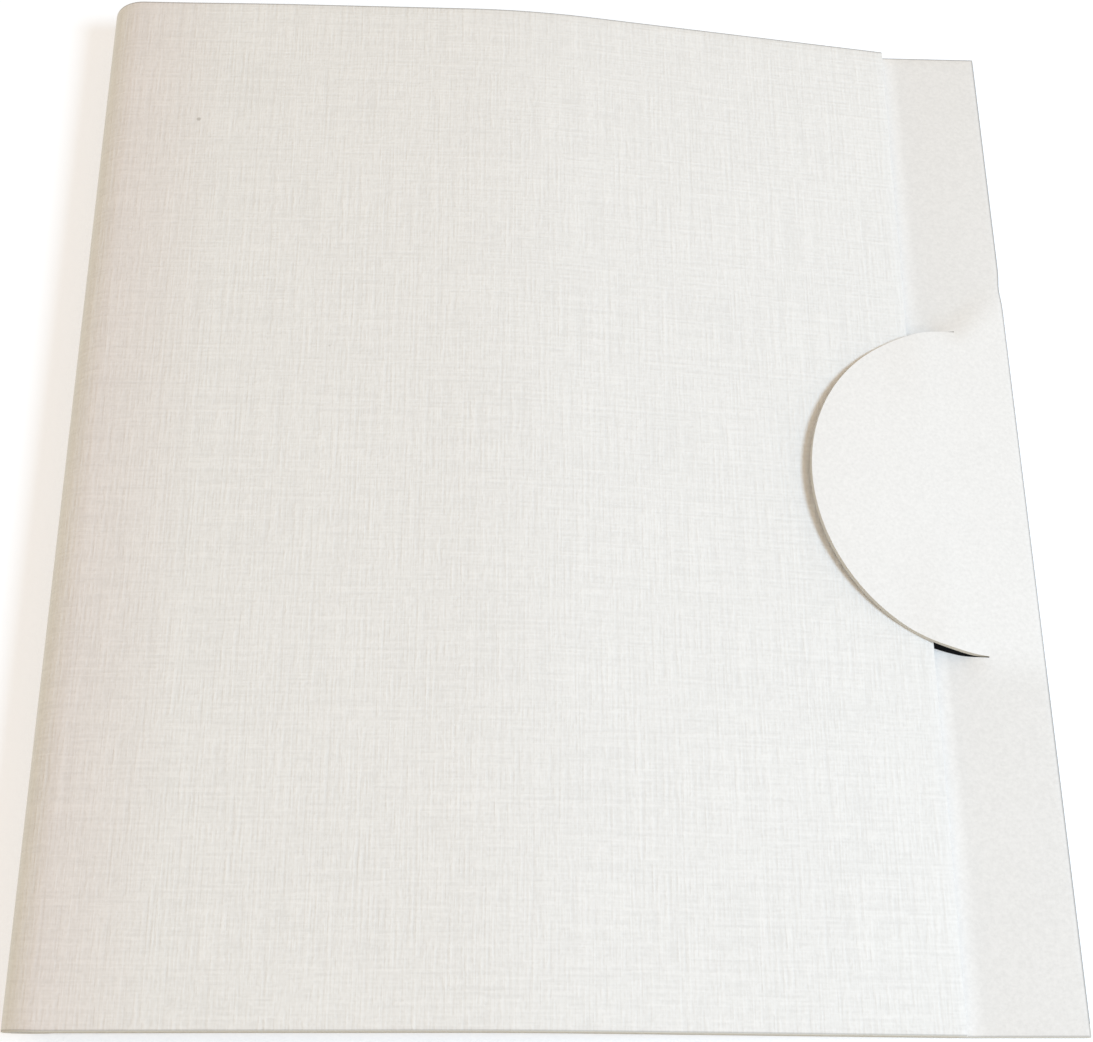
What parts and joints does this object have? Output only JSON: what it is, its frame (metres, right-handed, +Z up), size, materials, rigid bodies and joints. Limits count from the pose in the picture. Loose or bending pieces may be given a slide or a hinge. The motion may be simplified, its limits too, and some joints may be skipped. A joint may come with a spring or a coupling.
{
  "type": "photo folder",
  "caption": "White linen-embossed card folder for a small print, folded at the left and held shut by a half-round tongue cut in its back panel.",
  "frame": {"origin": "centre of the footprint, on the table surface that the back panel lies on", "axes": "+X from the fold to the free edge with the tongue, +Y along the fold to the far end, +Z up from the table through the front cover"},
  "size_m": [0.08, 0.089, 0.0061],
  "materials": {
    "card": "matt white card with a fine linen emboss on its outer face"
  },
  "bodies": {
    "root": {"folded_card": "card"}
  },
  "joints": []
}
